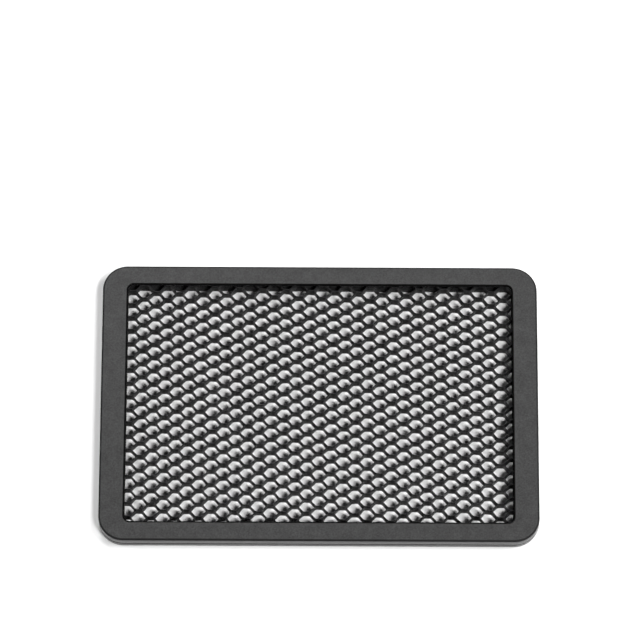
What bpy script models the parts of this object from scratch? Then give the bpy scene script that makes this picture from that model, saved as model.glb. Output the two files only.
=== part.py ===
"""Honeycomb grid for a pocket light: a two-part moulded frame round a core of folded foil.

The origin is the centre of the rear face, the one that lies against the lamp. +Z points out
of the front face and X runs along the long side. Sizes are in millimetres; MM turns them
into metres where a mesh is made.
"""

import math

import bmesh
import bpy
import numpy as np

MM = 0.001

# ---- Frame, outside ----
FRAME_LENGTH = 100.0
FRAME_WIDTH = 66.4
FRAME_DEPTH = 4.2
FRAME_CORNER_RADIUS = 5.75
FRONT_EDGE_RADIUS = 0.4
REAR_EDGE_RADIUS = 0.3

# ---- Opening ----
SIDE_BORDER = 5.85
END_BORDER = 4.6
OPENING_CORNER_RADIUS = 1.3

# ---- Seat of the core, between the two lips ----
FRONT_LIP = 0.55
REAR_LIP = 0.6
SIDE_SEAT = 1.0
END_SEAT = 2.4
SEAT_CORNER_RADIUS = 0.4

# ---- Joint between the two mouldings ----
SHOULDER_HEIGHT = 1.5
PARTING_GAP = 0.3
RIM_WIDTH = 0.8
RIM_RISE = 0.9

# ---- Locating pegs, part of the tray ----
PEG_RADIUS = 0.6
PEG_RISE = 1.0
PEG_CLEARANCE = 0.3
PEG_TO_END = 6.2

# ---- Holding magnets ----
MAGNET_LENGTH = 12.0
MAGNET_TO_END = 17.2
MAGNET_CLEARANCE = 0.3
POCKET_WALL = 0.575
POCKET_REAR_SKIN = 0.8
POCKET_FRONT_SKIN = 0.9

# ---- Foil core: eighth-inch cells, a little off square and unevenly drawn out ----
CELL_ACROSS_FLATS = 3.161
FLAT_SPACING = 5.493
FLAT_LENGTH = 1.4
FOIL_THICKNESS = 0.08
BOND_GAP = 0.05
CORE_CLEARANCE = 0.15
RIBBON_END_CLEARANCE = 0.25
RIBBON_SIDE_CLEARANCE = 0.15
SHORTEST_RIBBON = 25.0
CREASE_TO_CUT = 0.25
CORE_TURN = math.radians(-1.55)
CREASE_SLIP = -0.021
CELL_CENTRE = (0.13, -0.79)
BOW = (0.29, -0.22)
FAN = (0.2, -0.45)
ARCH = (0.14, -0.17)

# ---- Facets ----
CORNER_STEPS = 10
EDGE_STEPS = 3
PEG_SIDES = 16

# ---- Sizes that follow from the ones above ----
OPENING_X = FRAME_LENGTH / 2 - SIDE_BORDER
OPENING_Y = FRAME_WIDTH / 2 - END_BORDER
SEAT_X = OPENING_X + SIDE_SEAT
SEAT_Y = OPENING_Y + END_SEAT
RIM_TOP = SHOULDER_HEIGHT + RIM_RISE
BEZEL_BOTTOM = SHOULDER_HEIGHT + PARTING_GAP
CORE_BOTTOM = REAR_LIP + CORE_CLEARANCE
CORE_TOP = FRAME_DEPTH - FRONT_LIP - CORE_CLEARANCE
SKIRT_INSIDE = SEAT_X + RIM_WIDTH + PARTING_GAP
SKIRT_WIDTH = FRAME_LENGTH / 2 - SKIRT_INSIDE
SKIRT_CENTRE = SKIRT_INSIDE + SKIRT_WIDTH / 2
PEG_Y = FRAME_WIDTH / 2 - PEG_TO_END
MAGNET_Y = FRAME_WIDTH / 2 - MAGNET_TO_END
POCKET_WIDTH = SKIRT_WIDTH - 2 * POCKET_WALL
POCKET_TOP = FRAME_DEPTH - POCKET_FRONT_SKIN


def clear_scene():
    """Remove every object that the scene opens with."""
    for obj in list(bpy.data.objects):
        bpy.data.objects.remove(obj, do_unlink=True)


def principled(name, colour, roughness, metallic=0.0):
    """Return a Principled material of one colour."""
    material = bpy.data.materials.new(name)
    material.use_nodes = True
    shader = material.node_tree.nodes["Principled BSDF"]
    shader.inputs["Base Color"].default_value = (*colour, 1.0)
    shader.inputs["Roughness"].default_value = roughness
    shader.inputs["Metallic"].default_value = metallic
    return material


def add_object(name, bm, material=None):
    """Turn a bmesh into a named object with its faces pointing out."""
    bmesh.ops.recalc_face_normals(bm, faces=bm.faces)
    mesh = bpy.data.meshes.new(name)
    bm.to_mesh(mesh)
    bm.free()
    obj = bpy.data.objects.new(name, mesh)
    bpy.context.scene.collection.objects.link(obj)
    if material:
        mesh.materials.append(material)
    return obj


def as_tool(obj):
    """Mark an object as a guide for a Boolean, not a piece."""
    obj.hide_render = True
    obj.display_type = "WIRE"
    return obj


def combine(obj, tool, operation):
    """Add a live Boolean of the tool to the object."""
    modifier = obj.modifiers.new(tool.name, "BOOLEAN")
    modifier.operation = operation
    modifier.solver = "EXACT"
    modifier.object = tool


def shade_by_angle(obj):
    """Shade the round edges smooth and keep the flat faces crisp."""
    obj.data.shade_smooth()
    obj.data.set_sharp_from_angle(angle=math.radians(40))


# ---- Rings that run round the opening ----

def rounded_rectangle(half_x, half_y, radius, z):
    """Points of a rectangle with round corners, anticlockwise seen from the front."""
    turn = np.linspace(0, math.pi / 2, CORNER_STEPS + 1)
    points = []
    for corner, (sx, sy) in enumerate(((1, 1), (-1, 1), (-1, -1), (1, -1))):
        angle = turn + corner * math.pi / 2
        x = sx * (half_x - radius) + radius * np.cos(angle)
        y = sy * (half_y - radius) + radius * np.sin(angle)
        points.append(np.column_stack((x, y, np.full_like(x, z))))
    return np.vstack(points) * MM


def outer_loop(inset, z):
    """The frame's outline, moved inwards by the inset."""
    return rounded_rectangle(
        FRAME_LENGTH / 2 - inset, FRAME_WIDTH / 2 - inset, FRAME_CORNER_RADIUS - inset, z)


def opening_loop(outset, z):
    """The opening's outline, moved outwards by the outset."""
    return rounded_rectangle(
        OPENING_X + outset, OPENING_Y + outset, OPENING_CORNER_RADIUS + outset, z)


def seat_loop(outset, z):
    """The outline of the core's seat, moved outwards by the outset."""
    return rounded_rectangle(
        SEAT_X + outset, SEAT_Y + outset, SEAT_CORNER_RADIUS + outset, z)


def ring(name, loops, material):
    """Join the loops of a closed cross-section, one after another, into a ring."""
    bm = bmesh.new()
    rows = [[bm.verts.new(point) for point in loop] for loop in loops]
    count = len(rows[0])
    for row, following in zip(rows, rows[1:] + rows[:1]):
        for i in range(count):
            j = (i + 1) % count
            bm.faces.new((row[i], row[j], following[j], following[i]))
    return add_object(name, bm, material)


def quarter_turn(radius):
    """Steps of an edge's rounding: how far in and how far along, from side to face."""
    for step in range(EDGE_STEPS + 1):
        angle = step / EDGE_STEPS * math.pi / 2
        yield radius * (1 - math.cos(angle)), radius * math.sin(angle)


def front_bezel(material, pockets, peg_holes):
    """The front moulding: face, round edges, front lip and the skirt over the tray's rim."""
    straight = FRAME_DEPTH - FRONT_EDGE_RADIUS
    loops = [outer_loop(0, BEZEL_BOTTOM)]
    loops += [outer_loop(inset, straight + rise) for inset, rise in quarter_turn(FRONT_EDGE_RADIUS)]
    inner = [(inset, straight + rise) for inset, rise in quarter_turn(FRONT_EDGE_RADIUS)]
    loops += [opening_loop(inset, z) for inset, z in reversed(inner)]
    loops += [
        opening_loop(0, FRAME_DEPTH - FRONT_LIP),
        seat_loop(0, FRAME_DEPTH - FRONT_LIP),
        seat_loop(0, RIM_TOP + PARTING_GAP),
        seat_loop(RIM_WIDTH + PARTING_GAP, RIM_TOP + PARTING_GAP),
        seat_loop(RIM_WIDTH + PARTING_GAP, BEZEL_BOTTOM),
    ]
    bezel = ring("front_bezel", loops, material)
    combine(bezel, pockets, "DIFFERENCE")
    combine(bezel, peg_holes, "DIFFERENCE")
    shade_by_angle(bezel)
    return bezel


def rear_tray(material, pockets, pegs):
    """The rear moulding: rear lip, rim round the core, shoulder and pegs."""
    loops = [outer_loop(inset, REAR_EDGE_RADIUS - rise)
             for inset, rise in reversed(list(quarter_turn(REAR_EDGE_RADIUS)))]
    loops += [
        outer_loop(0, SHOULDER_HEIGHT),
        seat_loop(RIM_WIDTH, SHOULDER_HEIGHT),
        seat_loop(RIM_WIDTH, RIM_TOP),
        seat_loop(0, RIM_TOP),
        seat_loop(0, REAR_LIP),
        opening_loop(0, REAR_LIP),
        opening_loop(0, 0),
    ]
    tray = ring("rear_tray", loops, material)
    combine(tray, pockets, "DIFFERENCE")
    combine(tray, pegs, "UNION")
    shade_by_angle(tray)
    return tray


# ---- Magnets and pegs ----

def magnet_places():
    """Name and centre of each magnet, two in each side border."""
    for row, sy in (("upper", 1), ("lower", -1)):
        for side, sx in (("left", -1), ("right", 1)):
            yield f"magnet_{row}_{side}", sx * SKIRT_CENTRE, sy * MAGNET_Y


def peg_places():
    """Centre of each peg: three along each side border."""
    for sx in (-1, 1):
        for sy in (-1, 0, 1):
            yield sx * SKIRT_CENTRE, sy * PEG_Y


def add_block(bm, x, y, size_x, size_y, low, high):
    """Add a box to the bmesh, centred on x, y."""
    block = bmesh.ops.create_cube(bm, size=MM)
    bmesh.ops.scale(bm, vec=(size_x, size_y, high - low), verts=block["verts"])
    middle = (x * MM, y * MM, (low + high) / 2 * MM)
    bmesh.ops.translate(bm, vec=middle, verts=block["verts"])


def add_post(bm, x, y, radius, low, high):
    """Add an upright cylinder to the bmesh."""
    post = bmesh.ops.create_cone(
        bm, cap_ends=True, segments=PEG_SIDES,
        radius1=radius * MM, radius2=radius * MM, depth=(high - low) * MM)
    middle = (x * MM, y * MM, (low + high) / 2 * MM)
    bmesh.ops.translate(bm, vec=middle, verts=post["verts"])


def magnet_pockets():
    """The four pockets that both mouldings are cut with."""
    bm = bmesh.new()
    length = MAGNET_LENGTH + 2 * MAGNET_CLEARANCE
    for _, x, y in magnet_places():
        add_block(bm, x, y, POCKET_WIDTH, length, POCKET_REAR_SKIN, POCKET_TOP)
    return as_tool(add_object("magnet_pockets", bm))


def peg_tool(name, radius, low, high):
    """Six posts, as pegs to add or as holes to cut."""
    bm = bmesh.new()
    for x, y in peg_places():
        add_post(bm, x, y, radius, low, high)
    return as_tool(add_object(name, bm))


def magnets(material):
    """Four bar magnets, each with the same clearance all round in its pocket."""
    width = POCKET_WIDTH - 2 * MAGNET_CLEARANCE
    low = POCKET_REAR_SKIN + MAGNET_CLEARANCE
    high = POCKET_TOP - MAGNET_CLEARANCE
    pieces = []
    for name, x, y in magnet_places():
        bm = bmesh.new()
        add_block(bm, x, y, width, MAGNET_LENGTH, low, high)
        pieces.append(add_object(name, bm, material))
    return pieces


# ---- Foil core ----

def lay(along, across):
    """Place points given along and across the rows, counted from the centre cell.

    The rows are turned to the frame. Then the uneven stretch is added, which grows with
    the square of the distance from the middle. Its three shifts hold where the opening
    ends: BOW at the sides, ARCH at the upper and lower edge, and FAN in the corners,
    with opposite signs in neighbouring corners.
    """
    x = CELL_CENTRE[0] + along * math.cos(CORE_TURN) - across * math.sin(CORE_TURN)
    y = CELL_CENTRE[1] + along * math.sin(CORE_TURN) + across * math.cos(CORE_TURN)
    p = x / OPENING_X
    q = y / OPENING_Y
    shift_x = BOW[0] * p * p + FAN[0] * p * q + ARCH[0] * q * q
    shift_y = BOW[1] * p * p + FAN[1] * p * q + ARCH[1] * q * q
    return x + shift_x, y + shift_y


def seat_span(level):
    """Start and end, along its row, of the stretch on which a ribbon lies in the seat."""
    along = np.linspace(-FRAME_LENGTH, FRAME_LENGTH, 4001)
    inside = np.ones(along.shape, bool)
    for edge in (level - CELL_ACROSS_FLATS / 4, level + CELL_ACROSS_FLATS / 4):
        x, y = lay(along, edge)
        inside &= np.abs(x) < SEAT_X - RIBBON_END_CLEARANCE
        inside &= np.abs(y) < SEAT_Y - RIBBON_SIDE_CLEARANCE
    span = along[inside]
    return (span[0], span[-1]) if span.size else (0.0, 0.0)


def fold_line(level, first_flat, start, end):
    """Centre line of one ribbon: flats joined by slopes of about 50 degrees.

    The flats lie by turns on the ribbon's upper and lower limit. An upper flat is centred
    at first_flat. The line is cut at start and end, and a crease
    that would lie too close to a cut is left out.
    """
    half_rise = CELL_ACROSS_FLATS / 4 - (FOIL_THICKNESS + BOND_GAP) / 2
    before = math.floor((start - first_flat) / FLAT_SPACING) - 1
    after = math.ceil((end - first_flat) / FLAT_SPACING) + 1
    flats = first_flat + FLAT_SPACING * np.arange(before, after + 1)
    upper = np.array((-0.5, 0.5)) * FLAT_LENGTH
    corners = np.concatenate((upper, upper + FLAT_SPACING / 2))
    heights = np.array((1, 1, -1, -1)) * half_rise
    along = (flats[:, None] + corners).ravel()
    across = np.tile(heights, len(flats))
    kept = along[(along > start + CREASE_TO_CUT) & (along < end - CREASE_TO_CUT)]
    along_line = np.concatenate(((start,), kept, (end,)))
    return along_line, level + np.interp(along_line, along, across)


def foil_ribbon(name, fold, material):
    """One strip of foil: the fold line raised to the core's height and thickened."""
    bm = bmesh.new()
    foot = [bm.verts.new((x * MM, y * MM, CORE_BOTTOM * MM)) for x, y in zip(*lay(*fold))]
    edges = [bm.edges.new(pair) for pair in zip(foot, foot[1:])]
    raised = bmesh.ops.extrude_edge_only(bm, edges=edges)["geom"]
    top = [item for item in raised if isinstance(item, bmesh.types.BMVert)]
    bmesh.ops.translate(bm, vec=(0, 0, (CORE_TOP - CORE_BOTTOM) * MM), verts=top)
    ribbon = add_object(name, bm, material)
    wall = ribbon.modifiers.new("foil thickness", "SOLIDIFY")
    wall.thickness = FOIL_THICKNESS * MM
    wall.offset = 0.0
    wall.use_even_offset = True
    return ribbon


def folds():
    """Fold line of every ribbon, from the lower edge of the seat to the upper one.

    A ribbon spans half a cell. Its upper flats are bonded to the lower flats of the next
    ribbon, so the folds of neighbours are half a period apart. Rows near the upper and
    lower edge run out of the seat at one end, where their ribbons are cut short.
    """
    pitch = CELL_ACROSS_FLATS / 2
    most = math.ceil(FRAME_WIDTH / pitch)
    for k in range(-most, most):
        level = (k + 0.5) * pitch
        start, end = seat_span(level)
        if end - start >= SHORTEST_RIBBON:
            first_flat = k * CREASE_SLIP + (k % 2) * FLAT_SPACING / 2
            yield fold_line(level, first_flat, start, end)


def foil_core(material):
    """All ribbons of the core, numbered from the lower edge to the upper edge."""
    return [foil_ribbon(f"foil_ribbon_{number:02d}", fold, material)
            for number, fold in enumerate(folds(), start=1)]


def main():
    """Build the grid."""
    clear_scene()
    plastic = principled("frame plastic", (0.045, 0.045, 0.046), 0.5)
    black_foil = principled("black foil", (0.012, 0.012, 0.013), 0.4, 0.3)
    nickel = principled("nickel plate", (0.62, 0.6, 0.57), 0.25, 1.0)

    pockets = magnet_pockets()
    pegs = peg_tool("pegs", PEG_RADIUS, POCKET_REAR_SKIN, SHOULDER_HEIGHT + PEG_RISE)
    hole_top = SHOULDER_HEIGHT + PEG_RISE + PEG_CLEARANCE
    peg_holes = peg_tool("peg_holes", PEG_RADIUS + PEG_CLEARANCE, SHOULDER_HEIGHT, hole_top)

    pieces = [
        front_bezel(plastic, pockets, peg_holes),
        rear_tray(plastic, pockets, pegs),
        *magnets(nickel),
        *foil_core(black_foil),
    ]
    grid = bpy.data.objects.new("honeycomb_grid", None)
    bpy.context.scene.collection.objects.link(grid)
    for piece in pieces:
        piece.parent = grid


main()
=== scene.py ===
"""Looks of the honeycomb grid for a pocket light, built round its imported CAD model.

Each sub-assembly is a class: the two mouldings of the frame, the holding magnets between
them, and the foil core. Sizes are in millimetres in the frame of the CAD model, whose origin
is the centre of the rear face, with +Z out of the front; MM turns them into metres where a
mesh is made.
"""

import logging
import math
from collections.abc import Iterator
from dataclasses import dataclass
from enum import Enum

import bpy
import numpy as np
from mathutils import Matrix, Vector


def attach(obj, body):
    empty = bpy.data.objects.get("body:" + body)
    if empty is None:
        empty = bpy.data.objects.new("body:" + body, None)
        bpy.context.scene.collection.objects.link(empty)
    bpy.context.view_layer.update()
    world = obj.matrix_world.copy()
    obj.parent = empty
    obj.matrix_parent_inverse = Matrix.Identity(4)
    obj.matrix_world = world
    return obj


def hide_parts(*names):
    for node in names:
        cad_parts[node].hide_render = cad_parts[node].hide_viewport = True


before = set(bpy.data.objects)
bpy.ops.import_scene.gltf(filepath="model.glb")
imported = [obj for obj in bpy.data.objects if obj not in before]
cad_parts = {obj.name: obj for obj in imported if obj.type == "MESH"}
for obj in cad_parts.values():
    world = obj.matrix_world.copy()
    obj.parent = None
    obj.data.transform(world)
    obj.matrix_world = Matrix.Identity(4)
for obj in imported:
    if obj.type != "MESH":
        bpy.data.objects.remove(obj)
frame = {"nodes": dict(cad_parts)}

MM = 0.001
log = logging.getLogger("grid")

Colour = tuple[float, float, float]
Socket = bpy.types.NodeSocket


class Outline(Enum):
    """Outlines that a moulding's cross-section is carried round."""

    OUTSIDE = "outside"
    OPENING = "opening"
    SEAT = "seat"


class Slot(Enum):
    """Material slots of the record for the frame and the foil."""

    FRAME = "frame"
    FOIL = "foil"


# ---- Meshes ----

def surface_mesh(name: str, grids: list[np.ndarray], capped: bool = False) -> bpy.types.Mesh:
    """Join one or more grids of points into closed surfaces.

    Point (i, j) is joined to (i, j + 1), (i + 1, j + 1) and (i + 1, j). The columns always
    run round, from the last back to the first. The rows run round too, unless the first
    and the last row are closed with a cap.

    Args:
        name: Name of the mesh.
        grids: Grids of points in millimetres, all of the same size, rows by columns by 3,
            with the columns anticlockwise seen from the side that the rows lead to.
        capped: Whether the first and the last row get a cap.

    Returns:
        The mesh, in metres.
    """
    rows, columns = grids[0].shape[:2]
    index = np.arange(rows * columns).reshape(rows, columns)
    beside = np.roll(index, -1, axis=1)
    above = np.roll(index, -1, axis=0)
    corner = np.roll(beside, -1, axis=0)
    quads = np.stack((index, beside, corner, above), axis=-1)
    quads = (quads[:-1] if capped else quads).reshape(-1, 4)
    first = np.arange(len(grids))[:, None, None] * rows * columns
    faces = (quads + first).reshape(-1, 4).tolist()
    for cap in (index[0, ::-1], index[-1]) if capped else ():
        faces += (cap + first[:, 0]).tolist()
    points = np.concatenate([grid.reshape(-1, 3) for grid in grids]) * MM
    mesh = bpy.data.meshes.new(name)
    mesh.from_pydata(points.tolist(), [], faces)
    mesh.update()
    return mesh


def add_object(name: str, mesh: bpy.types.Mesh) -> bpy.types.Object:
    """Put a mesh into the scene as an object at the origin."""
    obj = bpy.data.objects.new(name, mesh)
    bpy.context.scene.collection.objects.link(obj)
    return obj


def shade_by_angle(mesh: bpy.types.Mesh, degrees: float = 40.0) -> None:
    """Shade a mesh smooth, with the edges sharper than the angle left crisp."""
    mesh.shade_smooth()
    mesh.set_sharp_from_angle(angle=math.radians(degrees))


def points_of(mesh: bpy.types.Mesh) -> np.ndarray:
    """All vertices of a mesh in millimetres, one row each."""
    flat = np.empty(len(mesh.vertices) * 3, np.float32)
    mesh.vertices.foreach_get("co", flat)
    return flat.reshape(-1, 3).astype(float) / MM


def write_mask(mesh: bpy.types.Mesh, name: str, values: np.ndarray) -> None:
    """Store one number per vertex under a name that materials read."""
    attribute = mesh.attributes.new(name, "FLOAT", "POINT")
    attribute.data.foreach_set("value", np.ascontiguousarray(values, dtype=np.float32).ravel())


def combine(obj: bpy.types.Object, tool: bpy.types.Object, operation: str) -> None:
    """Apply an exact Boolean of the tool to the object, and remove the tool.

    Args:
        obj: The piece.
        tool: The closed solid that is cut away or added.
        operation: "DIFFERENCE" or "UNION".
    """
    modifier = obj.modifiers.new(tool.name, "BOOLEAN")
    modifier.operation = operation
    modifier.solver = "EXACT"
    modifier.object = tool
    graph = bpy.context.evaluated_depsgraph_get()
    finished = bpy.data.meshes.new_from_object(obj.evaluated_get(graph), depsgraph=graph)
    finished.name = obj.name
    obj.modifiers.clear()
    obj.data = finished
    bpy.data.objects.remove(tool)


# ---- Outlines and cross-sections ----

@dataclass(frozen=True)
class FrameSizes:
    """Sizes that both mouldings share."""

    length: float = 100.0
    width: float = 66.4
    depth: float = 4.2
    corner_radius: float = 5.75
    side_border: float = 5.85
    end_border: float = 4.6
    opening_corner_radius: float = 1.3
    side_seat: float = 1.0
    end_seat: float = 2.4
    seat_corner_radius: float = 0.4
    front_lip: float = 0.55
    rear_lip: float = 0.6
    shoulder_height: float = 1.5
    parting_gap: float = 0.3
    rim_width: float = 0.8
    rim_rise: float = 0.9

    def half_sizes(self, outline: Outline) -> tuple[float, float, float]:
        """Half length, half width and corner radius of an outline."""
        opening_x = self.length / 2 - self.side_border
        opening_y = self.width / 2 - self.end_border
        return {
            Outline.OUTSIDE: (self.length / 2, self.width / 2, self.corner_radius),
            Outline.OPENING: (opening_x, opening_y, self.opening_corner_radius),
            Outline.SEAT: (opening_x + self.side_seat, opening_y + self.end_seat,
                           self.seat_corner_radius),
        }[outline]

    @property
    def rim_top(self) -> float:
        """Height of the tray's rim round the core."""
        return self.shoulder_height + self.rim_rise

    @property
    def skirt_inside(self) -> float:
        """Distance from the middle to the inside of the bezel's skirt at the sides."""
        return self.half_sizes(Outline.SEAT)[0] + self.rim_width + self.parting_gap

    @property
    def skirt_centre(self) -> float:
        """Distance from the middle to the centre line of the skirt at the sides."""
        return (self.skirt_inside + self.length / 2) / 2


@dataclass(frozen=True)
class CrossSection:
    """Closed cross-section of a moulding, each point counted outwards from an outline.

    Attributes:
        half_x: Half length of the loop through each point.
        half_y: Half width of that loop.
        radius: Corner radius of that loop.
        z: Height of each point.
    """

    half_x: np.ndarray
    half_y: np.ndarray
    radius: np.ndarray
    z: np.ndarray

    @classmethod
    def of(cls, sizes: FrameSizes, runs: list[tuple[Outline, np.ndarray]]) -> "CrossSection":
        """Put a cross-section together from runs of points.

        Args:
            sizes: The sizes of the frame.
            runs: Outline and points of each run; a point is how far out and how high.

        Returns:
            The cross-section. Moving a loop outwards by some distance adds that distance
            to its half length, its half width and its corner radius.
        """
        loops = [np.column_stack((np.array(sizes.half_sizes(outline)) + run[:, :1], run[:, 1]))
                 for outline, run in runs]
        return cls(*np.vstack(loops).T)

    def round_the_frame(self, steps: int) -> np.ndarray:
        """Carry the cross-section round the frame.

        Each loop is four quarter circles joined by straight sides. A quarter circle's
        centre is the corner drawn in by the radius along both sides, and its points are
        that centre plus the radius times the cosine and the sine of an evenly growing
        angle.

        Args:
            steps: Steps in each corner.

        Returns:
            Grid of points, one row for each point of the cross-section.
        """
        quarter = np.arange(4)[:, None]
        angle = (quarter + np.linspace(0.0, 1.0, steps + 1)) * math.pi / 2
        sign_x = np.broadcast_to(np.array((1, -1, -1, 1))[:, None], angle.shape).ravel()
        sign_y = np.broadcast_to(np.array((1, 1, -1, -1))[:, None], angle.shape).ravel()
        angle = angle.ravel()
        radius = self.radius[:, None]
        x = sign_x * (self.half_x[:, None] - radius) + radius * np.cos(angle)
        y = sign_y * (self.half_y[:, None] - radius) + radius * np.sin(angle)
        z = np.broadcast_to(self.z[:, None], x.shape)
        return np.stack((x, y, z), axis=-1)


def rounding(out: float, z: float, radius: float, start: int, steps: int) -> np.ndarray:
    """Quarter circle of a rounded edge in a cross-section.

    Its points are the centre plus the radius times the cosine, counted outwards, and the
    sine, counted upwards, of an angle that grows by a quarter turn.

    Args:
        out: How far out the centre lies.
        z: How high the centre lies.
        radius: Radius of the rounding.
        start: Angle of the first point in quarter turns, 0 for straight out.
        steps: Number of steps.

    Returns:
        Rows of how far out and how high.
    """
    angle = (start + np.linspace(0.0, 1.0, steps + 1)) * math.pi / 2
    return np.column_stack((out + radius * np.cos(angle), z + radius * np.sin(angle)))


def outside_distance(points: np.ndarray, half_sizes: tuple[float, float, float]) -> np.ndarray:
    """Distance of each point from an outline seen from the front, positive outside it.

    A point's distances past the corner centres are taken along both sides. Beyond a
    corner centre the distance is the length of both together less the radius, and
    elsewhere the larger of the two less the radius.
    """
    half_x, half_y, radius = half_sizes
    past = np.abs(points[:, :2]) - (np.array((half_x, half_y)) - radius)
    beyond = np.linalg.norm(np.maximum(past, 0.0), axis=1)
    return beyond + np.minimum(past.max(axis=1), 0.0) - radius


def post_points(
    centre: tuple[float, float],
    half_sizes: tuple[float, float, float],
    levels: np.ndarray,
    steps: int,
) -> np.ndarray:
    """Upright solid with a rounded rectangle, or a circle, as its plan.

    Args:
        centre: Where it stands.
        half_sizes: Half length, half width and corner radius of its plan.
        levels: Rows of how far in the outline is drawn and how high it lies.
        steps: Steps in each corner.

    Returns:
        Grid of points from the lowest loop to the highest.
    """
    loops = np.array(half_sizes)[None, :] - levels[:, :1]
    section = CrossSection(loops[:, 0], loops[:, 1], loops[:, 2], levels[:, 1])
    return section.round_the_frame(steps) + np.array((*centre, 0.0))


# ---- Node wiring ----

class Wiring:
    """Adds and joins shader nodes in one node tree."""

    def __init__(self, tree: bpy.types.NodeTree) -> None:
        """Hold the tree that the nodes are added to."""
        self.tree = tree

    def node(self, kind: str, inputs: dict[str | int, object] | None = None,
             **settings: object) -> bpy.types.Node:
        """Add a node.

        Args:
            kind: Type name without its leading "ShaderNode".
            inputs: Value or socket for each input, by its name or number.
            **settings: Settings of the node itself.

        Returns:
            The node.
        """
        made = self.tree.nodes.new("ShaderNode" + kind)
        for name, value in settings.items():
            setattr(made, name, value)
        for key, value in (inputs or {}).items():
            self.feed(made.inputs[key], value)
        return made

    def feed(self, socket: Socket, value: object) -> None:
        """Join another socket to an input, or set its value."""
        if isinstance(value, bpy.types.NodeSocket):
            self.tree.links.new(value, socket)
        else:
            socket.default_value = value

    def math(self, operation: str, first: object, second: object = 0.0,
             clamp: bool = False) -> Socket:
        """Add one sum of two numbers and return its result."""
        made = self.node("Math", {0: first, 1: second}, operation=operation, use_clamp=clamp)
        return made.outputs[0]

    def span(self, value: Socket, old: tuple[float, float], new: tuple[float, float]) -> Socket:
        """Carry a number from one range over to another, held inside it."""
        made = self.node("MapRange", {0: value, 1: old[0], 2: old[1], 3: new[0], 4: new[1]})
        return made.outputs[0]

    def mix(self, share: object, first: object, second: object) -> Socket:
        """Mix two colours by a share."""
        made = self.node("Mix", data_type="RGBA")
        self.feed(made.inputs[0], share)
        self.feed(made.inputs[6], first)
        self.feed(made.inputs[7], second)
        return made.outputs[2]

    def noise(self, place: Socket, scale: object, detail: float = 2.0,
              roughness: float = 0.5) -> Socket:
        """Add a noise over the place and return its value, from 0 to 1."""
        made = self.node("TexNoise", {"Vector": place, "Scale": scale, "Detail": detail,
                                      "Roughness": roughness})
        return made.outputs["Fac"]

    def stretched(self, place: Socket, scale: tuple[float, float, float]) -> Socket:
        """Scale a place along its three axes."""
        return self.node("Mapping", {"Vector": place, "Scale": scale}).outputs[0]

    def toned(self, colour: Colour, tone: Socket) -> Socket:
        """Make a colour lighter or darker by a tone round 1."""
        return self.node("HueSaturation", {"Value": tone, "Color": rgba(colour)}).outputs[0]

    def lifted(self, height: Socket, depth: float) -> Socket:
        """Normal of a surface that the height lifts by up to the depth, in metres."""
        made = self.node("Bump", {"Strength": 1.0, "Distance": depth, "Height": height})
        return made.outputs[0]

    def group(self, tree: bpy.types.NodeTree, inputs: dict[str, object]) -> bpy.types.Node:
        """Place a node group with its own values."""
        made = self.tree.nodes.new("ShaderNodeGroup")
        made.node_tree = tree
        for key, value in inputs.items():
            self.feed(made.inputs[key], value)
        return made


def rgba(colour: Colour) -> tuple[float, float, float, float]:
    """A colour with full cover."""
    return (*colour, 1.0)


@dataclass(frozen=True)
class Plug:
    """Named input or output of a node group."""

    name: str
    kind: str = "NodeSocketFloat"
    output: bool = False


def new_group(name: str, plugs: list[Plug]) -> tuple[Wiring, bpy.types.Node, bpy.types.Node]:
    """Start a node group.

    Args:
        name: Name of the group.
        plugs: Its inputs and outputs.

    Returns:
        Wiring of the group, and the nodes that hold its inputs and its outputs.
    """
    tree = bpy.data.node_groups.new(name, "ShaderNodeTree")
    for plug in plugs:
        tree.interface.new_socket(
            name=plug.name, in_out="OUTPUT" if plug.output else "INPUT", socket_type=plug.kind)
    return Wiring(tree), tree.nodes.new("NodeGroupInput"), tree.nodes.new("NodeGroupOutput")


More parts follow.
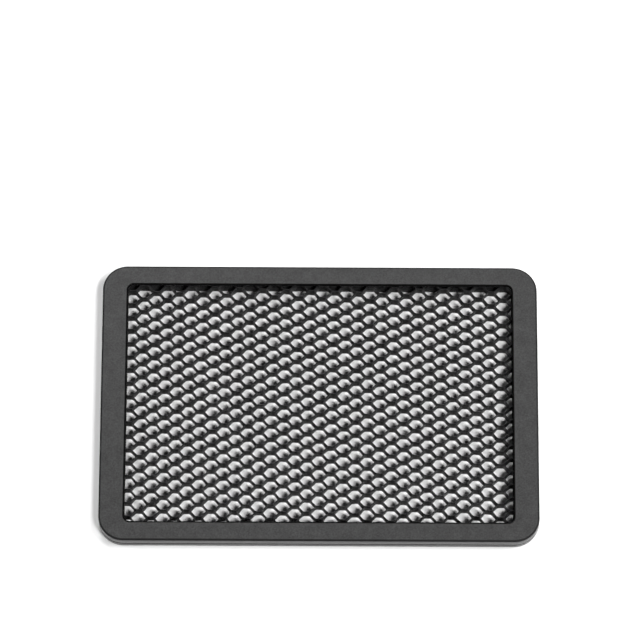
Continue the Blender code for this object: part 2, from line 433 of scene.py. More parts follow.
@dataclass(frozen=True)
class Effects:
    """Effects that more than one finish uses, each built once as a node group."""

    grain: bpy.types.NodeTree
    edge_wear_and_shade: bpy.types.NodeTree
    handling: bpy.types.NodeTree

    @classmethod
    def build(cls) -> "Effects":
        """Build all the groups."""
        return cls(cls._grain(), cls._edge_wear_and_shade(), cls._handling())

    def grained(self, wiring: Wiring, place: Socket, per_metre: float, patches: float,
                spread: float) -> bpy.types.Node:
        """Place the fine grain.

        Args:
            wiring: Wiring of the material.
            place: Place on the object.
            per_metre: Grains per metre.
            patches: Wider patches per metre.
            spread: How far the tone swings.

        Returns:
            The node with the outputs Height and Tone.
        """
        return wiring.group(self.grain, {
            "Vector": place, "Per Metre": per_metre, "Patch Per Metre": patches,
            "Tone Spread": spread})

    @staticmethod
    def _grain() -> bpy.types.NodeTree:
        """Fine grain: a sharp small noise with a wider one under it.

        Returns:
            Group with the grain's height and a tone round 1.
        """
        wiring, given, out = new_group("fine grain", [
            Plug("Vector", "NodeSocketVector"), Plug("Per Metre"), Plug("Patch Per Metre"),
            Plug("Tone Spread"), Plug("Height", output=True), Plug("Tone", output=True)])
        place = given.outputs["Vector"]
        fine = wiring.noise(place, given.outputs["Per Metre"], 3.0, 0.6)
        patch = wiring.noise(place, given.outputs["Patch Per Metre"], 2.0, 0.5)
        both = wiring.math("ADD", wiring.math("MULTIPLY", fine, 0.75),
                           wiring.math("MULTIPLY", patch, 0.25))
        wiring.feed(out.inputs["Height"], both)
        swing = wiring.math("MULTIPLY", wiring.math("SUBTRACT", both, 0.5),
                            given.outputs["Tone Spread"])
        wiring.feed(out.inputs["Tone"], wiring.math("ADD", swing, 1.0))
        return wiring.tree

    @staticmethod
    def _edge_wear_and_shade() -> bpy.types.NodeTree:
        """Mask of the edges, broken up by noise: wear on the foil's rims, painted shade on the
        mouldings' edges.

        Returns:
            Group with the share of the edge colour.
        """
        wiring, given, out = new_group("edge wear and painted shade", [
            Plug("Vector", "NodeSocketVector"), Plug("Edge"), Plug("Per Metre"),
            Plug("Amount"), Plug("Mask", output=True)])
        chips = wiring.noise(given.outputs["Vector"], given.outputs["Per Metre"], 4.0, 0.65)
        broken = wiring.span(chips, (0.38, 0.66), (0.85, 1.0))
        worn = wiring.math("MULTIPLY", given.outputs["Edge"], broken)
        wiring.feed(out.inputs["Mask"], wiring.math("MULTIPLY", worn, given.outputs["Amount"], True))
        return wiring.tree

    @staticmethod
    def _handling() -> bpy.types.NodeTree:
        """Traces of handling: wide soft patches and sparse short hairlines.

        Returns:
            Group with a soft smudge and a mask of hairlines.
        """
        wiring, given, out = new_group("handling", [
            Plug("Vector", "NodeSocketVector"), Plug("Smudge", output=True),
            Plug("Hairlines", output=True)])
        place = given.outputs["Vector"]
        wide = wiring.noise(place, 42.0, 3.0, 0.55)
        wiring.feed(out.inputs["Smudge"], wiring.span(wide, (0.35, 0.68), (0.0, 1.0)))
        along = wiring.noise(wiring.stretched(place, (180.0, 9000.0, 180.0)), 1.0, 1.0)
        lines = wiring.span(along, (0.66, 0.72), (0.0, 1.0))
        sparse = wiring.span(wiring.noise(place, 260.0, 1.0), (0.52, 0.62), (0.0, 1.0))
        wiring.feed(out.inputs["Hairlines"], wiring.math("MULTIPLY", lines, sparse))
        return wiring.tree


# ---- Finishes ----

def new_material(name: str) -> tuple[bpy.types.Material, Wiring, bpy.types.Node, Socket]:
    """Start a material.

    Args:
        name: Name of the material.

    Returns:
        The material, its wiring, its Principled shader and the place on the object.
    """
    material = bpy.data.materials.new(name)
    material.use_nodes = True
    wiring = Wiring(material.node_tree)
    shader = material.node_tree.nodes["Principled BSDF"]
    place = wiring.node("TexCoord").outputs["Object"]
    return material, wiring, shader, place


@dataclass(frozen=True)
class MouldedPlastic:
    """Dark grey moulded plastic with a fine spark-eroded grain."""

    name: str = "moulded plastic"
    colour: Colour = (0.0225, 0.0225, 0.0227)
    # Near-black colour of the rounded edges: painted shade.
    edge: Colour = (0.001, 0.001, 0.001)
    roughness: float = 0.21
    grain_per_metre: float = 3000.0
    grain_depth: float = 0.000025

    def material(self, effects: Effects) -> bpy.types.Material:
        """Make the material.

        Args:
            effects: The shared node groups.

        Returns:
            Plastic whose grain lifts the surface and shifts its tone a little, with
            duller edges, darkened towards black as painted shade, and faint smudges.
        """
        material, wiring, shader, place = new_material(self.name)
        grain = effects.grained(wiring, place, self.grain_per_metre, 420.0, 4.5)
        handling = wiring.group(effects.handling, {"Vector": place})
        edge = wiring.node("Attribute", attribute_name="edge").outputs["Fac"]
        # Mask of the rounded edges, broken by noise: it mixes in the near-black edge colour as painted
        # shade.
        wear = wiring.group(effects.edge_wear_and_shade, {
            "Vector": place, "Edge": edge, "Per Metre": 900.0, "Amount": 1.0})
        toned = wiring.toned(self.colour, grain.outputs["Tone"])
        wiring.feed(shader.inputs["Base Color"],
                    wiring.mix(wear.outputs["Mask"], toned, rgba(self.edge)))
        smudged = wiring.math("MULTIPLY", handling.outputs["Smudge"], -0.035)
        lined = wiring.math("MULTIPLY", handling.outputs["Hairlines"], -0.06)
        dulled = wiring.math("MULTIPLY", wear.outputs["Mask"], 0.7)
        rough = wiring.math("ADD", wiring.math("ADD", smudged, lined),
                            wiring.math("ADD", dulled, self.roughness))
        wiring.feed(shader.inputs["Roughness"], rough)
        wiring.feed(shader.inputs["Normal"], wiring.lifted(grain.outputs["Height"], self.grain_depth))
        shader.inputs["IOR"].default_value = 1.45
        return material


@dataclass(frozen=True)
class PaintedShadeEdge:
    """Near-black rounded edges of the bezel: painted shade along them, and at the opening painted
    shadow of the gap round the core.
    """

    name: str
    colour: Colour
    index: float
    roughness: float = 0.55

    def material(self, effects: Effects) -> bpy.types.Material:
        """Make the material.

        Args:
            effects: The shared node groups.

        Returns:
            Black as painted shade, with a fine grain and faint smudges.
        """
        material, wiring, shader, place = new_material(self.name)
        grain = effects.grained(wiring, place, 5200.0, 420.0, 2.0)
        handling = wiring.group(effects.handling, {"Vector": place})
        toned = wiring.toned(self.colour, grain.outputs["Tone"])
        wiring.feed(shader.inputs["Base Color"], toned)
        smudged = wiring.math("MULTIPLY", handling.outputs["Smudge"], -0.05)
        wiring.feed(shader.inputs["Roughness"], wiring.math("ADD", smudged, self.roughness))
        wiring.feed(shader.inputs["Normal"], wiring.lifted(grain.outputs["Height"], 0.000008))
        shader.inputs["IOR"].default_value = self.index
        return material


@dataclass(frozen=True)
class CoatedFoil:
    """Aluminium foil with a satin black coat, a little thinner on its cut rims."""

    name: str = "black coated foil"
    colour: Colour = (0.007, 0.007, 0.0071)
    rim: Colour = (0.04, 0.04, 0.041)
    roughness: float = 0.45
    roll_depth: float = 0.000004

    def material(self, effects: Effects) -> bpy.types.Material:
        """Make the material.

        Args:
            effects: The shared node groups.

        Returns:
            Black coat with rolling lines along the strip, and the bare metal showing
            thinly through on the cut rims.
        """
        material, wiring, shader, place = new_material(self.name)
        rim = wiring.node("Attribute", attribute_name="rim").outputs["Fac"]
        strip = wiring.node("Attribute", attribute_name="strip").outputs["Vector"]
        lines = wiring.noise(wiring.stretched(strip, (60.0, 9000.0, 1.0)), 1.0, 3.0, 0.6)
        grain = effects.grained(wiring, place, 9000.0, 700.0, 0.8)
        wear = wiring.group(effects.edge_wear_and_shade, {
            "Vector": place, "Edge": rim, "Per Metre": 1500.0, "Amount": 0.9})
        toned = wiring.toned(self.colour, grain.outputs["Tone"])
        wiring.feed(shader.inputs["Base Color"],
                    wiring.mix(wear.outputs["Mask"], toned, rgba(self.rim)))
        rough = wiring.span(lines, (0.3, 0.7), (self.roughness - 0.05, self.roughness + 0.07))
        wiring.feed(shader.inputs["Roughness"], rough)
        height = wiring.math("ADD", lines, wiring.math("MULTIPLY", grain.outputs["Height"], 0.6))
        wiring.feed(shader.inputs["Normal"], wiring.lifted(height, self.roll_depth))
        shader.inputs["IOR"].default_value = 1.22
        return material


@dataclass(frozen=True)
class NickelPlate:
    """Bright nickel plate of the magnets, with ground faces and dull corners."""

    name: str = "nickel plate"
    colour: Colour = (0.62, 0.6, 0.57)
    dull: Colour = (0.42, 0.4, 0.37)
    roughness: float = 0.24

    def material(self, effects: Effects) -> bpy.types.Material:
        """Make the material.

        Args:
            effects: The shared node groups.

        Returns:
            Metal with a soft grinding grain and a few hairlines.
        """
        material, wiring, shader, place = new_material(self.name)
        grain = effects.grained(wiring, place, 3000.0, 500.0, 0.3)
        handling = wiring.group(effects.handling, {"Vector": place})
        wiring.feed(shader.inputs["Base Color"],
                    wiring.mix(handling.outputs["Smudge"], rgba(self.colour), rgba(self.dull)))
        rough = wiring.span(grain.outputs["Height"], (0.3, 0.7),
                            (self.roughness - 0.06, self.roughness + 0.1))
        wiring.feed(shader.inputs["Roughness"], rough)
        wiring.feed(shader.inputs["Normal"], wiring.lifted(grain.outputs["Height"], 0.000003))
        shader.inputs["Metallic"].default_value = 1.0
        return material


@dataclass(frozen=True)
class PaleTable:
    """Matt white table top."""

    name: str = "white table"
    colour: Colour = (0.86, 0.86, 0.86)

    def material(self, effects: Effects) -> bpy.types.Material:
        """Make the material.

        Args:
            effects: The shared node groups.

        Returns:
            White with a barely seen tooth.
        """
        material, wiring, shader, place = new_material(self.name)
        grain = effects.grained(wiring, place, 2500.0, 60.0, 0.02)
        toned = wiring.toned(self.colour, grain.outputs["Tone"])
        wiring.feed(shader.inputs["Base Color"], toned)
        shader.inputs["Roughness"].default_value = 0.9
        shader.inputs["Specular IOR Level"].default_value = 0.1
        return material


# ---- The two mouldings ----

@dataclass(frozen=True)
class Moulding:
    """What the front and the rear moulding have in common."""

    sizes: FrameSizes
    corner_steps: int = 28
    round_steps: int = 8
    pocket_length: float = 12.6
    pocket_width: float = 2.6
    pocket_from_middle: float = 16.0
    pocket_low: float = 0.8
    pocket_high: float = 3.3
    peg_from_middle: float = 27.0
    peg_radius: float = 0.6
    peg_rise: float = 1.0
    peg_clearance: float = 0.3

    def pockets(self) -> bpy.types.Object:
        """Four upright blocks that the magnet pockets are cut with."""
        half = (self.pocket_width / 2, self.pocket_length / 2, 0.12)
        levels = np.array(((0.0, self.pocket_low), (0.0, self.pocket_high)))
        blocks = [
            post_points((sx * self.sizes.skirt_centre, sy * self.pocket_from_middle), half,
                        levels, 3)
            for sx in (-1, 1) for sy in (-1, 1)]
        return add_object("pockets", surface_mesh("pockets", blocks, capped=True))

    def posts(self, name: str, radius: float, levels: np.ndarray) -> bpy.types.Object:
        """Six round posts, three along each side border.

        Args:
            name: Name of the object.
            radius: Radius of a post.
            levels: Rows of how far in a post's outline is drawn and how high it lies.

        Returns:
            The posts in one object.
        """
        posts = [
            post_points((sx * self.sizes.skirt_centre, sy * self.peg_from_middle),
                        (radius, radius, radius), levels, 6)
            for sx in (-1, 1) for sy in (-1, 0, 1)]
        return add_object(name, surface_mesh(name, posts, capped=True))

    def mark_edges(self, mesh: bpy.types.Mesh, edges: list[tuple[Outline, float, float]],
                   reach: float) -> None:
        """Write the mask of the rounded edges, where the plastic is darkened as painted shade and made
        duller.

        Each vertex gets a bell curve of its distance, in the cross-section, from the
        nearest listed edge.

        Args:
            mesh: Mesh of the moulding.
            edges: Outline of each edge, how far out of it the edge lies, and how high.
            reach: Distance at which the mask has fallen to about a third.
        """
        points = points_of(mesh)
        mask = np.zeros(len(points))
        for outline, out, z in edges:
            aside = outside_distance(points, self.sizes.half_sizes(outline)) - out
            away = np.hypot(aside, points[:, 2] - z)
            mask = np.maximum(mask, np.exp(-((away / reach) ** 2)))
        write_mask(mesh, "edge", mask)

    def dress(self, obj: bpy.types.Object, material: bpy.types.Material) -> bpy.types.Object:
        """Shade a moulding, give it its finish and let it stand for its CAD node."""
        shade_by_angle(obj.data)
        obj.data.materials.clear()
        obj.data.materials.append(material)
        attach(obj, "root")
        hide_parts(obj.name.removesuffix("_moulding"))
        return obj


@dataclass(frozen=True)
class FrontBezel(Moulding):
    """Front moulding: face, round edges, lip over the core, skirt over the tray's rim."""

    outer_round: float = 0.4
    inner_round: float = 0.4
    parting_round: float = 0.09
    lip_round: float = 0.05
    hold: float = 0.03
    edge_reach: float = 0.5
    edge_tilt: tuple[float, float] = (0.05, 0.999)

    def cross_section(self) -> CrossSection:
        """Cross-section from the parting line up the outside, over the face and back."""
        s = self.sizes
        foot = s.shoulder_height + s.parting_gap
        under_lip = s.depth - s.front_lip
        outer, inner, seam = self.outer_round, self.inner_round, self.parting_round
        ceiling = s.rim_top + s.parting_gap
        behind_rim = s.rim_width + s.parting_gap
        outside = np.vstack((
            rounding(-seam, foot + seam, seam, -1, 3),
            ((0.0, foot + seam + self.hold), (0.0, s.depth - outer - self.hold)),
            rounding(-outer, s.depth - outer, outer, 0, self.round_steps),
            ((-outer - self.hold, s.depth),)))
        opening = np.vstack((
            ((inner + self.hold, s.depth),),
            rounding(inner, s.depth - inner, inner, 1, self.round_steps),
            rounding(self.lip_round, under_lip + self.lip_round, self.lip_round, 2, 3)))
        seat = np.array(((0.0, under_lip), (0.0, ceiling), (behind_rim, ceiling),
                         (behind_rim, foot)))
        return CrossSection.of(s, [
            (Outline.OUTSIDE, outside), (Outline.OPENING, opening), (Outline.SEAT, seat)])

    def paint_edge(self, mesh: bpy.types.Mesh, outline: Outline,
                   material: bpy.types.Material) -> None:
        """Give the rounded front edge along an outline a finish of its own.

        Its faces are the tilted ones near the front that lie close to the outline.

        Args:
            mesh: Mesh of the bezel.
            outline: The outline.
            material: Near-black material of the edge, painted shade.
        """
        count = len(mesh.polygons)
        centres = np.empty(count * 3, np.float32)
        normals = np.empty(count * 3, np.float32)
        places = np.empty(count, np.int32)
        mesh.polygons.foreach_get("center", centres)
        mesh.polygons.foreach_get("normal", normals)
        mesh.polygons.foreach_get("material_index", places)
        centres = centres.reshape(-1, 3).astype(float) / MM
        upward = normals.reshape(-1, 3)[:, 2]
        aside = np.abs(outside_distance(centres, self.sizes.half_sizes(outline)))
        tilted = (upward > self.edge_tilt[0]) & (upward < self.edge_tilt[1])
        close = (aside < self.edge_reach) & (centres[:, 2] > self.sizes.depth - self.edge_reach)
        places[tilted & close] = len(mesh.materials)
        mesh.materials.append(material)
        mesh.polygons.foreach_set("material_index", places)

    def build(self, material: bpy.types.Material,
              edges: dict[Outline, bpy.types.Material]) -> bpy.types.Object:
        """Build and dress the moulding.

        Args:
            material: Its finish.
            edges: Near-black material of the rounded edge along each outline, painted shade.

        Returns:
            The piece.
        """
        s = self.sizes
        points = self.cross_section().round_the_frame(self.corner_steps)
        bezel = add_object("front_bezel_moulding", surface_mesh("front_bezel", [points]))
        hole_top = s.shoulder_height + self.peg_rise + self.peg_clearance
        combine(bezel, self.pockets(), "DIFFERENCE")
        combine(bezel, self.posts("peg holes", self.peg_radius + self.peg_clearance, np.array(
            ((0.0, s.shoulder_height), (0.0, hole_top)))), "DIFFERENCE")
        outer, inner = self.outer_round * 0.29, self.inner_round * 0.29
        self.mark_edges(bezel.data, [
            (Outline.OUTSIDE, -outer, s.depth - outer),
            (Outline.OPENING, inner, s.depth - inner)], 0.32)
        self.dress(bezel, material)
        for outline, finish in edges.items():
            self.paint_edge(bezel.data, outline, finish)
        return bezel


@dataclass(frozen=True)
class RearTray(Moulding):
    """Rear moulding: rear lip, rim round the core, shoulder and locating pegs."""

    rear_round: float = 0.3
    parting_round: float = 0.09
    lip_round: float = 0.06
    hold: float = 0.03

    def cross_section(self) -> CrossSection:
        """Cross-section from the rear edge up the outside, over the rim and back."""
        s = self.sizes
        rear, seam, lip = self.rear_round, self.parting_round, self.lip_round
        outside = np.vstack((
            ((-rear - self.hold, 0.0),),
            rounding(-rear, rear, rear, -1, self.round_steps),
            ((0.0, rear + self.hold), (0.0, s.shoulder_height - seam - self.hold)),
            rounding(-seam, s.shoulder_height - seam, seam, 0, 3)))
        rim = np.array(((s.rim_width, s.shoulder_height), (s.rim_width, s.rim_top - 0.1),
                        (s.rim_width - 0.1, s.rim_top), (0.1, s.rim_top),
                        (0.0, s.rim_top - 0.1), (0.0, s.rear_lip)))
        opening = np.vstack((
            rounding(lip, s.rear_lip - lip, lip, 1, 3),
            rounding(lip, lip, lip, 2, 3)))
        return CrossSection.of(s, [
            (Outline.OUTSIDE, outside), (Outline.SEAT, rim), (Outline.OPENING, opening)])

    def build(self, material: bpy.types.Material) -> bpy.types.Object:
        """Build and dress the moulding.

        Args:
            material: Its finish.

        Returns:
            The piece.
        """
        s = self.sizes
        points = self.cross_section().round_the_frame(self.corner_steps)
        tray = add_object("rear_tray_moulding", surface_mesh("rear_tray", [points]))
        peg_top = s.shoulder_height + self.peg_rise
        combine(tray, self.pockets(), "DIFFERENCE")
        combine(tray, self.posts("pegs", self.peg_radius, np.array(
            ((0.0, self.pocket_low), (0.0, peg_top - 0.15), (0.12, peg_top)))), "UNION")
        rear = self.rear_round * 0.29
        self.mark_edges(tray.data, [
            (Outline.OUTSIDE, -rear, rear), (Outline.OPENING, 0.02, 0.02)], 0.13)
        return self.dress(tray, material)


# ---- Magnets ----

@dataclass(frozen=True)
class HoldingMagnets:
    """Four bar magnets in the pockets of the side borders, as the CAD model has them."""

    rows: tuple[str, ...] = ("upper", "lower")
    sides: tuple[str, ...] = ("left", "right")

    def dress(self, nodes: dict[str, bpy.types.Object], material: bpy.types.Material) -> int:
        """Give the magnets their plate.

        Args:
            nodes: The CAD nodes by name.
            material: Their finish.

        Returns:
            How many there are.
        """
        names = [f"magnet_{row}_{side}" for row in self.rows for side in self.sides]
        for name in names:
            magnet = nodes[name]
            magnet.data.materials.clear()
            magnet.data.materials.append(material)
            for place in magnet.material_slots:
                place.material = material
        return len(names)


# ---- Foil core ----

@dataclass(frozen=True)
class CellLattice:
    """Where the cells of the expanded core lie.

    Attributes:
        across_flats: Distance between a cell's parallel flats.
        flat_spacing: Distance from one upper flat of a ribbon to the next.
        flat_length: Length of a flat.
        turn: Angle of the rows to the frame, in degrees.
        slip: How far each ribbon's folds lie along the row from the last one's.
        centre: Middle of the central cell.
        bow: Shift of the cells where the opening ends at the sides.
        fan: Shift in the corners, with opposite signs in neighbouring ones.
        arch: Shift where the opening ends above and below.
        wander: Greatest size of the small random shifts of the walls.
    """

    across_flats: float = 3.161
    flat_spacing: float = 5.493
    flat_length: float = 1.4
    turn: float = -1.55
    slip: float = -0.021
    centre: tuple[float, float] = (0.13, -0.79)
    bow: tuple[float, float] = (0.29, -0.22)
    fan: tuple[float, float] = (0.2, -0.45)
    arch: tuple[float, float] = (0.14, -0.17)
    wander: float = 0.055

    def place(self, along: np.ndarray, across: np.ndarray,
              opening: tuple[float, float]) -> tuple[np.ndarray, np.ndarray]:
        """Place points given along and across the rows.

        The rows are turned to the frame. Then each point is shifted by the bow times the
        square of its share of the way to the side, plus the arch times the square of its
        share of the way to the upper edge, plus the fan times the product of both.

        Args:
            along: Distance along the rows from the central cell.
            across: Distance across them.
            opening: Half length and half width of the opening.

        Returns:
            X and Y of each point.
        """
        turn = math.radians(self.turn)
        x = self.centre[0] + along * math.cos(turn) - across * math.sin(turn)
        y = self.centre[1] + along * math.sin(turn) + across * math.cos(turn)
        p = x / opening[0]
        q = y / opening[1]
        moved_x = x + self.bow[0] * p * p + self.fan[0] * p * q + self.arch[0] * q * q
        moved_y = y + self.bow[1] * p * p + self.fan[1] * p * q + self.arch[1] * q * q
        return moved_x, moved_y


@dataclass(frozen=True)
class Unevenness:
    """Smooth random shift over the core: a sum of plane waves.

    Each wave is the sine of the place times its direction and number, plus its phase.
    """

    size: float
    shortest: float
    longest: float
    seed: int
    waves: int = 14

    def at(self, x: np.ndarray, y: np.ndarray) -> tuple[np.ndarray, np.ndarray]:
        """Shift along X and along Y at each place.

        Args:
            x: X of the places.
            y: Y of the places.

        Returns:
            The two shifts, about as large as the size.
        """
        random = np.random.default_rng(self.seed)
        length = self.shortest * (self.longest / self.shortest) ** random.random(self.waves)
        heading = random.random(self.waves) * 2 * math.pi
        phase = random.random((2, self.waves)) * 2 * math.pi
        turns = 2 * math.pi / length * (x[..., None] * np.cos(heading) + y[..., None] * np.sin(heading))
        scale = self.size * math.sqrt(2.0 / self.waves)
        return (scale * np.sin(turns + phase[0]).sum(axis=-1),
                scale * np.sin(turns + phase[1]).sum(axis=-1))


@dataclass(frozen=True)
class FoilCore:
    """Core of folded foil ribbons, bonded to each other along every second flat."""

    sizes: FrameSizes
    lattice: CellLattice = CellLattice()
    thickness: float = 0.08
    bond: float = 0.02
    clearance: float = 0.15
    end_clearance: float = 0.25
    side_clearance: float = 0.15
    shortest_ribbon: float = 25.0
    crease: float = 0.42
    lean: Unevenness = Unevenness(0.03, 3.0, 9.0, 11)
    drift: Unevenness = Unevenness(0.05, 5.0, 26.0, 7)
    ripple: Unevenness = Unevenness(0.014, 1.6, 4.0, 23)

    @property
    def opening(self) -> tuple[float, float]:
        """Half length and half width of the opening."""
        return self.sizes.half_sizes(Outline.OPENING)[:2]

    def span(self, level: float) -> tuple[float, float]:
        """Start and end, along its row, of the stretch on which a ribbon fits the seat."""
        seat_x, seat_y, _ = self.sizes.half_sizes(Outline.SEAT)
        along = np.linspace(-self.sizes.length, self.sizes.length, 4001)
        edges = level + np.array((-1.0, 1.0))[:, None] * self.lattice.across_flats / 4
        x, y = self.lattice.place(along[None, :], edges, self.opening)
        fits = (np.abs(x) < seat_x - self.end_clearance) & (np.abs(y) < seat_y - self.side_clearance)
        inside = along[fits.all(axis=0)]
        return (inside[0], inside[-1]) if inside.size else (0.0, 0.0)

    def rows(self) -> Iterator[tuple[float, float, float, float]]:
        """Level, place of one upper flat, start and end of each ribbon, lowest first."""
        pitch = self.lattice.across_flats / 2
        most = math.ceil(self.sizes.width / pitch)
        for k in range(-most, most):
            level = (k + 0.5) * pitch
            start, end = self.span(level)
            if end - start >= self.shortest_ribbon:
                shift = (k % 2) * self.lattice.flat_spacing / 2
                yield level, k * self.lattice.slip + shift, start, end

    def wave(self, along: np.ndarray, first_flat: float) -> np.ndarray:
        """How far the ribbon stands off its level.

        A flat lies high, a slope leads down to a flat that lies low, and so on. Each point
        is the mean of that trapezoid over the width of a crease, which rounds the folds.

        Args:
            along: Places along the row.
            first_flat: Centre of one upper flat.

        Returns:
            Distance from the level at each place.
        """
        half = self.lattice.flat_spacing / 2
        slope = half - self.lattice.flat_length
        rise = self.lattice.across_flats / 4 - (self.thickness + self.bond) / 2
        around = along[..., None] + self.crease * np.linspace(-0.5, 0.5, 9)
        to_flat = np.abs((around - first_flat + half) % (2 * half) - half)
        return rise * np.clip((half / 2 - to_flat) * 2 / slope, -1.0, 1.0).mean(axis=-1)

    def stations(self, first_flat: float, start: float, end: float) -> np.ndarray:
        """Places along the row that a ribbon's mesh has points at.

        They crowd round each fold and have one more in the middle of each flat and slope.
        """
        spacing = self.lattice.flat_spacing
        upper = np.array((-0.5, 0.5)) * self.lattice.flat_length
        folds = np.concatenate((upper, upper + spacing / 2))
        around = folds[:, None] + np.linspace(-0.62, 0.62, 6) * self.crease
        one = np.sort(np.concatenate((around.ravel(), np.arange(4) * spacing / 4)))
        before = math.floor((start - first_flat) / spacing) - 1
        after = math.ceil((end - first_flat) / spacing) + 1
        flats = first_flat + spacing * np.arange(before, after + 1)
        places = (flats[:, None] + one).ravel()
        places = places[(places > start + 0.05) & (places < end - 0.05)]
        return np.concatenate(((start,), places, (end,)))

    def ribbon(self, name: str, row: tuple[float, float, float, float],
               material: bpy.types.Material) -> bpy.types.Object:
        """Build and dress one ribbon.

        The strip's section, a thin upright rectangle with slightly broken rims, is carried
        along the fold line. Every point is the point of the line, plus half the thickness
        to the side, plus the unevenness of the core at that place, of which the lean grows
        from the middle height to both rims with opposite signs.

        Args:
            name: Name of the ribbon's CAD node.
            row: Level, place of one upper flat, start and end.
            material: Its finish.

        Returns:
            The piece.
        """
        level, first_flat, start, end = row
        along = self.stations(first_flat, start, end)
        across = level + self.wave(along, first_flat)
        x, y = self.lattice.place(along, across, self.opening)
        step = np.hypot(np.gradient(x), np.gradient(y))
        side_x, side_y = -np.gradient(y) / step, np.gradient(x) / step
        low = self.sizes.rear_lip + self.clearance
        high = self.sizes.depth - self.sizes.front_lip - self.clearance
        up = np.array((low, low + 0.03, low + 0.5, (low + high) / 2, high - 0.5, high - 0.03, high))
        half = np.array((0.5, 1.0, 1.0, 1.0, 1.0, 1.0, 0.5)) * self.thickness / 2
        z = np.concatenate((up, up[::-1]))
        off = np.concatenate((-half, half[::-1]))
        drift_x, drift_y = self.drift.at(x, y)
        ripple_x, ripple_y = self.ripple.at(x, y)
        lean_x, lean_y = self.lean.at(x, y)
        tilt = (2 * z - low - high) / (high - low)
        px = x[:, None] + side_x[:, None] * off + (drift_x + ripple_x)[:, None] + lean_x[:, None] * tilt
        py = y[:, None] + side_y[:, None] * off + (drift_y + ripple_y)[:, None] + lean_y[:, None] * tilt
        pz = np.broadcast_to(z, px.shape)
        points = np.stack((px, py, pz), axis=-1)
        mesh = surface_mesh(name, [points], capped=True)
        shade_by_angle(mesh, 50.0)
        distance = np.broadcast_to(np.concatenate(((0.0,), np.cumsum(step[1:])))[:, None], px.shape)
        write_mask(mesh, "rim", np.broadcast_to((z == high) | (z == low), px.shape).astype(float))
        strip = mesh.attributes.new("strip", "FLOAT_VECTOR", "POINT")
        places = np.stack((distance * MM, pz * MM, np.full_like(px, level * MM)), axis=-1)
        strip.data.foreach_set("vector", places.astype(np.float32).ravel())
        piece = add_object(name + "_fold", mesh)
        piece.data.materials.append(material)
        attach(piece, "root")
        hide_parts(name)
        return piece

    def build(self, material: bpy.types.Material) -> list[bpy.types.Object]:
        """Build all ribbons, numbered from the lower edge to the upper edge."""
        return [self.ribbon(f"foil_ribbon_{number:02d}", row, material)
                for number, row in enumerate(self.rows(), start=1)]


# ---- Table, light and camera ----

@dataclass(frozen=True)
class SoftLight:
    """A square soft light that points at the grid.

    Attributes:
        name: Name of the light.
        azimuth: Direction that it comes from, in degrees anticlockwise from +X.
        elevation: Its height over the table, in degrees.
        distance: Distance from the grid in metres.
        size: Length of its side in metres.
        power: Its power in watts.
    """

    name: str
    azimuth: float
    elevation: float
    distance: float
    size: float
    power: float

    def build(self) -> bpy.types.Object:
        """Hang the light and turn it to the grid."""
        data = bpy.data.lights.new(self.name, "AREA")
        data.shape = "SQUARE"
        data.size = self.size
        data.energy = self.power
        light = bpy.data.objects.new(self.name, data)
        bpy.context.scene.collection.objects.link(light)
        azimuth, elevation = math.radians(self.azimuth), math.radians(self.elevation)
        away = Vector((math.cos(azimuth) * math.cos(elevation),
                       math.sin(azimuth) * math.cos(elevation), math.sin(elevation)))
        turn = away.to_track_quat("Z", "Y").to_matrix().to_4x4()
        light.matrix_world = Matrix.Translation(away * self.distance) @ turn
        return light


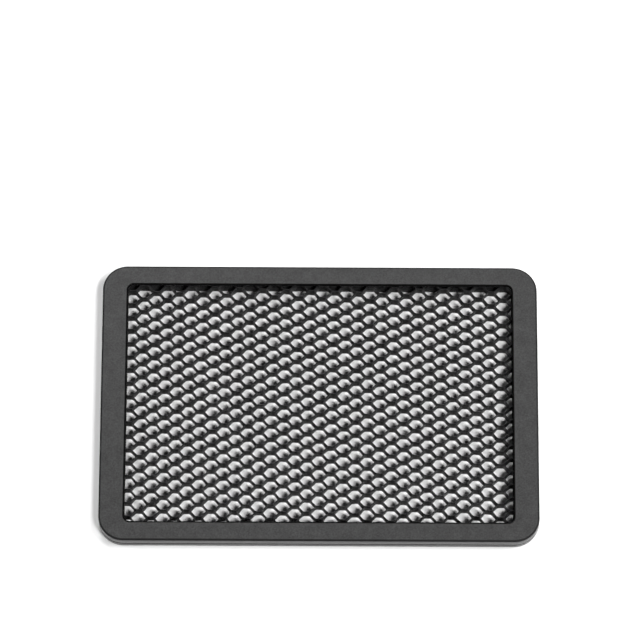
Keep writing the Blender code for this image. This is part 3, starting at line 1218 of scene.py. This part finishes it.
@dataclass(frozen=True)
class Studio:
    """Pale table, soft light and camera.

    Attributes:
        lights: The soft lights, from the front right round to the left.
        sky: Brightness of the surroundings overhead.
        horizon: Brightness of the surroundings at the height of the table.
        aim: Point that the camera looks at, in millimetres.
        distance: Distance of the camera from it, in millimetres.
        elevation: Angle of the camera's axis to the table, in degrees.
        azimuth: Angle of the camera's axis to +Y, in degrees.
        roll: Turn of the camera about its axis, in degrees.
        lens: Focal length, in millimetres, for a sensor 36 mm wide.
    """

    lights: tuple[SoftLight, ...] = (
        SoftLight("front right light", -48.0, 61.0, 1.6, 0.3, 14.6),
        SoftLight("right light", 5.0, 54.0, 1.6, 0.7, 23.6),
        SoftLight("back light", 103.0, 47.0, 1.6, 0.6, 14.6),
        SoftLight("left light", 176.0, 46.0, 1.6, 0.5, 6.0),
    )
    sky: float = 0.02
    horizon: float = 0.05
    table_gap: float = 0.03
    aim: tuple[float, float, float] = (0.054, 21.646, 0.0)
    distance: float = 1099.4
    elevation: float = 69.5
    azimuth: float = 0.132
    roll: float = 0.3886
    lens: float = 267.85

    def table(self, material: bpy.types.Material) -> bpy.types.Object:
        """Build the table top, a wide thin slab just under the grid."""
        slab = post_points((0.0, 0.0), (1600.0, 1600.0, 200.0), np.array(
            ((0.0, -20.0), (0.0, -self.table_gap))), 8)
        top = add_object("table_top", surface_mesh("table_top", [slab], capped=True))
        top.data.materials.append(material)
        return top

    def surroundings(self) -> None:
        """Make the world: darker at the horizon than overhead, and pale to the camera."""
        world = bpy.data.worlds.new("studio")
        world.use_nodes = True
        bpy.context.scene.world = world
        world.node_tree.nodes.clear()
        wiring = Wiring(world.node_tree)
        place = wiring.node("TexCoord").outputs["Generated"]
        height = wiring.node("SeparateXYZ", {0: place}).outputs["Z"]
        shade = wiring.span(height, (0.0, 1.0), (self.horizon, self.sky))
        lighting = wiring.node("Background", {"Color": rgba((1.0, 1.0, 1.0)), "Strength": shade})
        backdrop = wiring.node("Background", {"Color": rgba((1.0, 1.0, 1.0)), "Strength": 1.0})
        seen = wiring.node("LightPath").outputs["Is Camera Ray"]
        both = wiring.node("MixShader", {0: seen, 1: lighting.outputs[0], 2: backdrop.outputs[0]})
        wiring.node("OutputWorld", {"Surface": both.outputs[0]})

    def camera(self) -> bpy.types.Object:
        """Set up the camera on its line of sight, turned by its roll."""
        azimuth, elevation = math.radians(self.azimuth), math.radians(self.elevation)
        roll = math.radians(self.roll)
        ahead = Vector((math.sin(azimuth) * math.cos(elevation),
                        math.cos(azimuth) * math.cos(elevation), -math.sin(elevation)))
        level = Vector((math.cos(azimuth), -math.sin(azimuth), 0.0))
        upright = level.cross(ahead)
        right = level * math.cos(roll) + upright * math.sin(roll)
        above = upright * math.cos(roll) - level * math.sin(roll)
        data = bpy.data.cameras.new("camera")
        data.lens = self.lens
        data.sensor_width = 36.0
        data.clip_start = 0.05
        data.clip_end = 20.0
        camera = bpy.data.objects.new("camera", data)
        bpy.context.scene.collection.objects.link(camera)
        place = (Vector(self.aim) - ahead * self.distance) * MM
        turn = Matrix((right, above, -ahead)).transposed().to_4x4()
        camera.matrix_world = Matrix.Translation(place) @ turn
        bpy.context.scene.camera = camera
        return camera

    def build(self, material: bpy.types.Material) -> None:
        """Set up table, lights, surroundings and camera."""
        self.table(material)
        for light in self.lights:
            light.build()
        self.surroundings()
        self.camera()
        settings = bpy.context.scene.view_settings
        settings.view_transform = "Standard"
        settings.look = "None"


def main() -> None:
    """Build the grid and its studio."""
    logging.basicConfig(level=logging.INFO, format="%(name)s: %(message)s")
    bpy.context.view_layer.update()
    effects = Effects.build()
    plastic = MouldedPlastic().material(effects)
    sizes = FrameSizes()

    # Near-black edge materials: painted shade along the outer edge, painted shadow of the gap along the
    # opening's edge.
    edges = {
        Outline.OUTSIDE: PaintedShadeEdge("outer edge painted shade", (0.010, 0.010, 0.0101), 1.2).material(effects),
        Outline.OPENING: PaintedShadeEdge("inner edge painted shadow", (0.003, 0.003, 0.003), 1.08).material(effects),
    }
    bezel = FrontBezel(sizes).build(plastic, edges)
    log.info("front bezel: %d faces", len(bezel.data.polygons))
    tray = RearTray(sizes).build(plastic)
    log.info("rear tray: %d faces", len(tray.data.polygons))
    magnets = HoldingMagnets().dress(frame["nodes"], NickelPlate().material(effects))
    log.info("holding magnets: %d", magnets)
    ribbons = FoilCore(sizes).build(CoatedFoil().material(effects))
    log.info("foil core: %d ribbons, %d faces", len(ribbons),
             sum(len(ribbon.data.polygons) for ribbon in ribbons))

    Studio().build(PaleTable().material(effects))


if __name__ == "__main__":
    main()
